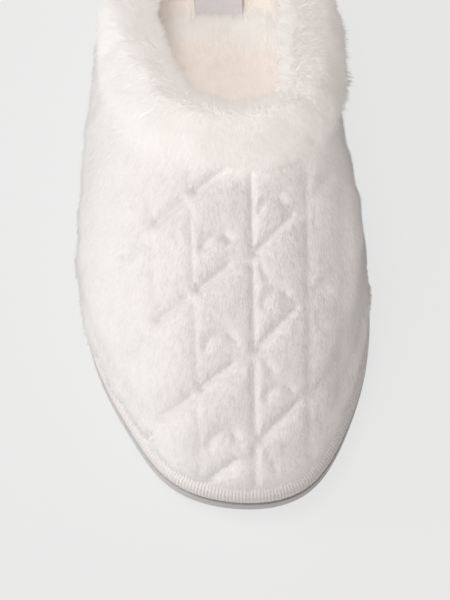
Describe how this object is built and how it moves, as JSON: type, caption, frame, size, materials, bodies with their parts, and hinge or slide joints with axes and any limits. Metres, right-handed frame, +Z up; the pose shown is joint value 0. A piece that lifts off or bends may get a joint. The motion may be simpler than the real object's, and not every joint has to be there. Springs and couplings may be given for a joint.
{
  "type": "plush slipper",
  "caption": "Closed-toe plush house slipper for the right foot with cable-embossed upper, long-pile collar, ribbed sole edge and rubber outsole.",
  "frame": {"origin": "middle of the slipper's box in plan, on the floor under the outsole", "axes": "+Y from toe to heel, +X to the medial side, +Z up"},
  "size_m": [0.1044, 0.26, 0.0759],
  "materials": {
    "outsole": "matt moulded rubber",
    "platform": "ribbed woven tape over foam",
    "upper": "short-pile plush, embossed",
    "collar": "long fluffy pile",
    "insole": "brushed plush",
    "label": "satin weave, bare"
  },
  "bodies": {
    "root": {"outsole": "outsole", "platform": "platform", "upper": "upper", "collar": "collar", "insole": "insole", "label": "label"}
  },
  "joints": []
}
